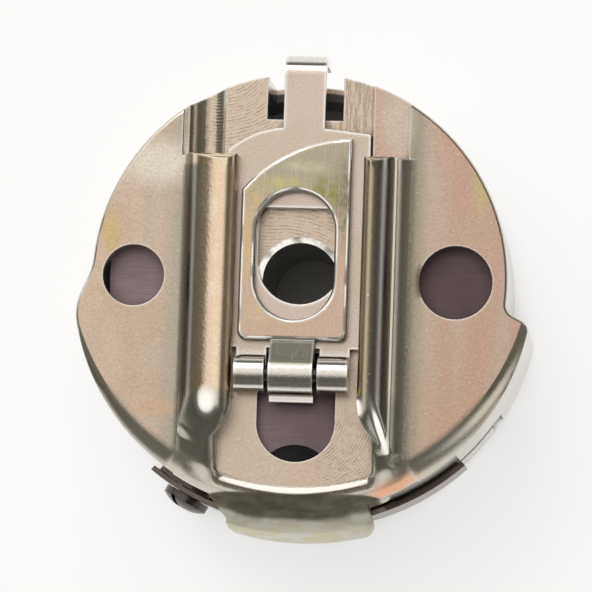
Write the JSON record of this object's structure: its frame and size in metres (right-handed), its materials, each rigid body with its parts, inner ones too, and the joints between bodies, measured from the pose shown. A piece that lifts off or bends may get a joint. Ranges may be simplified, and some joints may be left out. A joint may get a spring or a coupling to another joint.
{
  "type": "bobbin case",
  "caption": "Metal lockstitch bobbin case: a cup with a centre sleeve, a sprung latch slide drawn by a hinged lever, and a leaf spring whose screw sets the thread tension.",
  "frame": {"origin": "where the axis of the centre sleeve meets the plane of the open rim", "axes": "+Z along the sleeve from the open rim to the latch face, +Y towards the latch finger, +X to the right with the latch face towards the viewer"},
  "size_m": [0.0261, 0.0281, 0.0121],
  "materials": {
    "case": "satin nickel plate",
    "sleeve": "turned",
    "disc": "brushed, dark",
    "slide": "satin nickel plate",
    "lever": "satin nickel plate",
    "pin": "ground",
    "wire": "drawn wire",
    "leaf": "polished",
    "screw": "turned"
  },
  "bodies": {
    "case": {"case_body": "case", "centre_sleeve": "sleeve", "anti_spin_spring": "disc", "latch_spring": "wire", "tension_spring": "leaf", "tension_fixing_screw": "screw"},
    "slide": {"latch_slide": "slide", "hinge_pin": "pin"},
    "lever": {"latch_lever": "lever"},
    "adjuster": {"tension_adjusting_screw": "screw"}
  },
  "joints": [
    {"name": "slide_travel", "type": "slide", "parent": "case", "child": "slide", "axis": [0, -1, 0], "range_m": [0, 0.0016], "stiffness_N_per_m": 150, "springref_m": -0.003, "deforming": ["latch_spring"]},
    {"name": "lever_lift", "type": "hinge", "parent": "slide", "child": "lever", "pos_m": [0, -0.00555, 0.01085], "axis": [1, 0, 0], "range_deg": [0, 90]},
    {"name": "adjuster_turn", "type": "hinge", "parent": "case", "child": "adjuster", "pos_m": [-0.00049, -0.01389, 0.0037], "axis": [-0.0349, -0.9994, 0], "range_deg": [-360, 360]}
  ],
  "couplings": [
    {"joint": "lever_lift", "follows": "slide_travel", "rad_per_m": 981.75}
  ]
}
